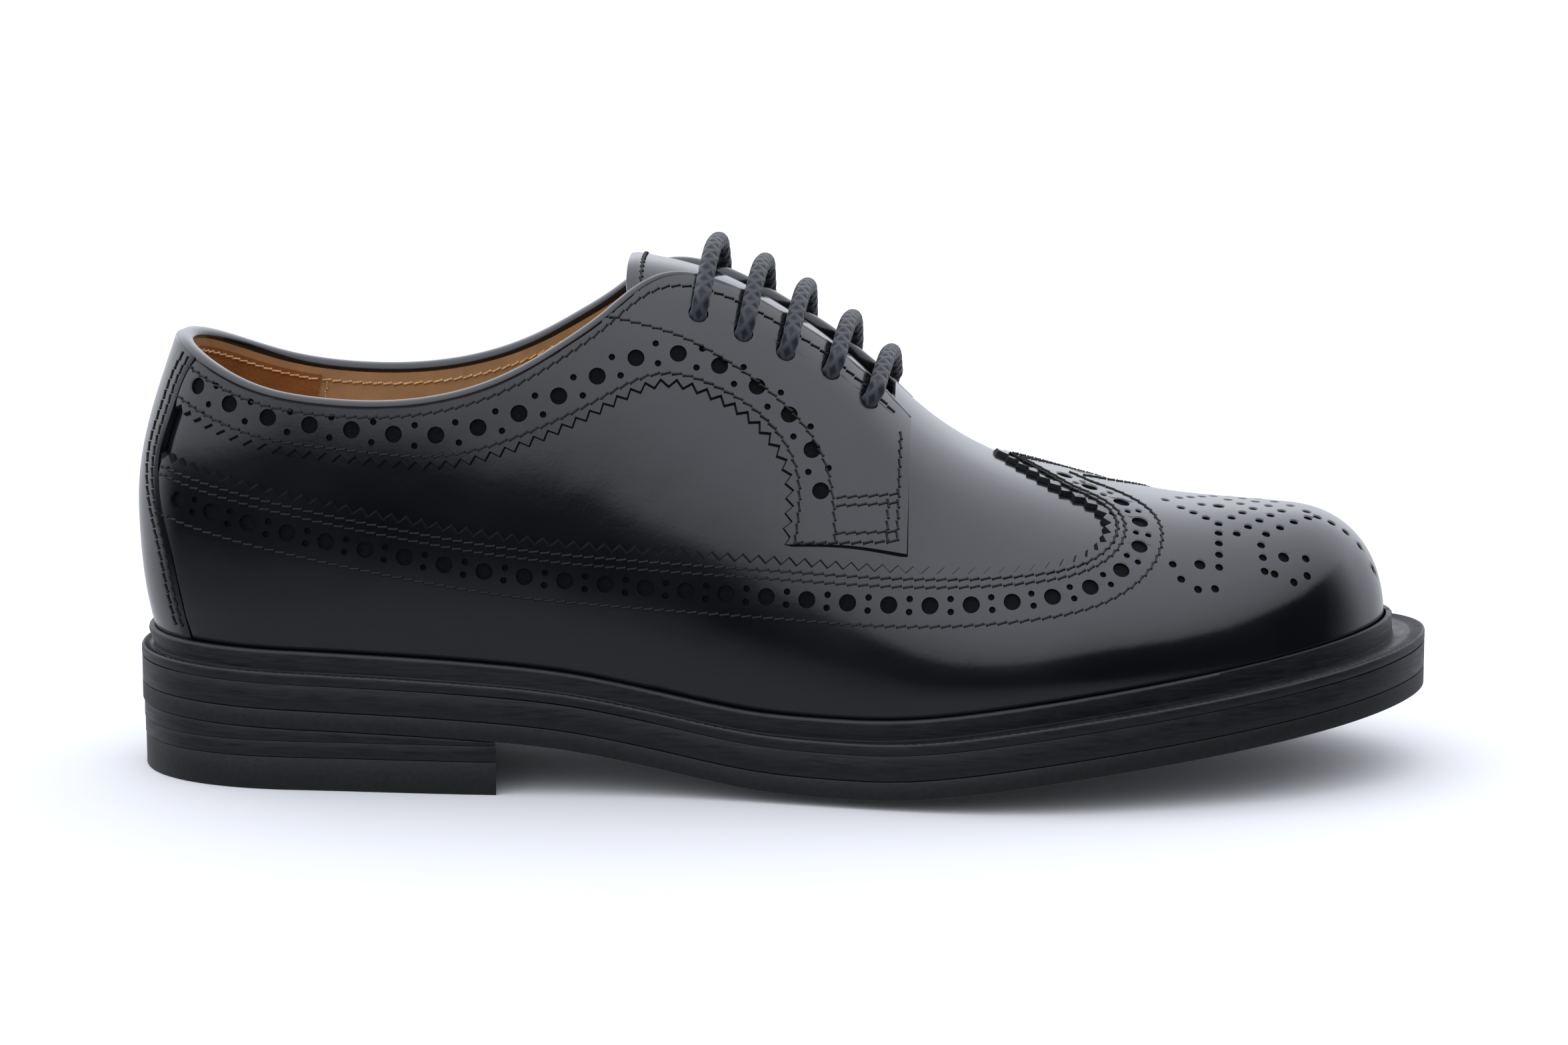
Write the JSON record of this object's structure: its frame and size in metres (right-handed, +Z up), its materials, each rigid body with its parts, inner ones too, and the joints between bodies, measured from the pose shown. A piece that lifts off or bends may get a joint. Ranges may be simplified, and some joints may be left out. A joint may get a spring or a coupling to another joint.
{
  "type": "brogue derby",
  "caption": "Black leather long-wing brogue derby, right shoe, with open lacing, storm welt, rubber sole and stacked heel.",
  "frame": {"origin": "on the floor under the middle of the sole's box", "axes": "+X from heel to toe, +Y to the inner side of the foot, +Z up"},
  "size_m": [0.3, 0.1089, 0.1237],
  "materials": {
    "upper_leather": "high-shine polished",
    "lining_leather": "natural, satin",
    "welt_leather": "edge-dyed satin",
    "sole_rubber": "matte",
    "lace_cotton": "waxed cotton"
  },
  "bodies": {
    "root": {"outsole": "sole_rubber", "midsole": "sole_rubber", "heel_lifts": "sole_rubber", "heel_top_piece": "sole_rubber", "welt": "welt_leather", "insole": "lining_leather", "upper": "upper_leather", "long_wing": "upper_leather", "facing_outer": "upper_leather", "facing_inner": "upper_leather", "back_stay": "upper_leather", "tongue": "upper_leather", "lace_bar_1": "lace_cotton", "lace_bar_2": "lace_cotton", "lace_bar_3": "lace_cotton", "lace_bar_4": "lace_cotton", "lace_bar_5": "lace_cotton"}
  },
  "joints": []
}
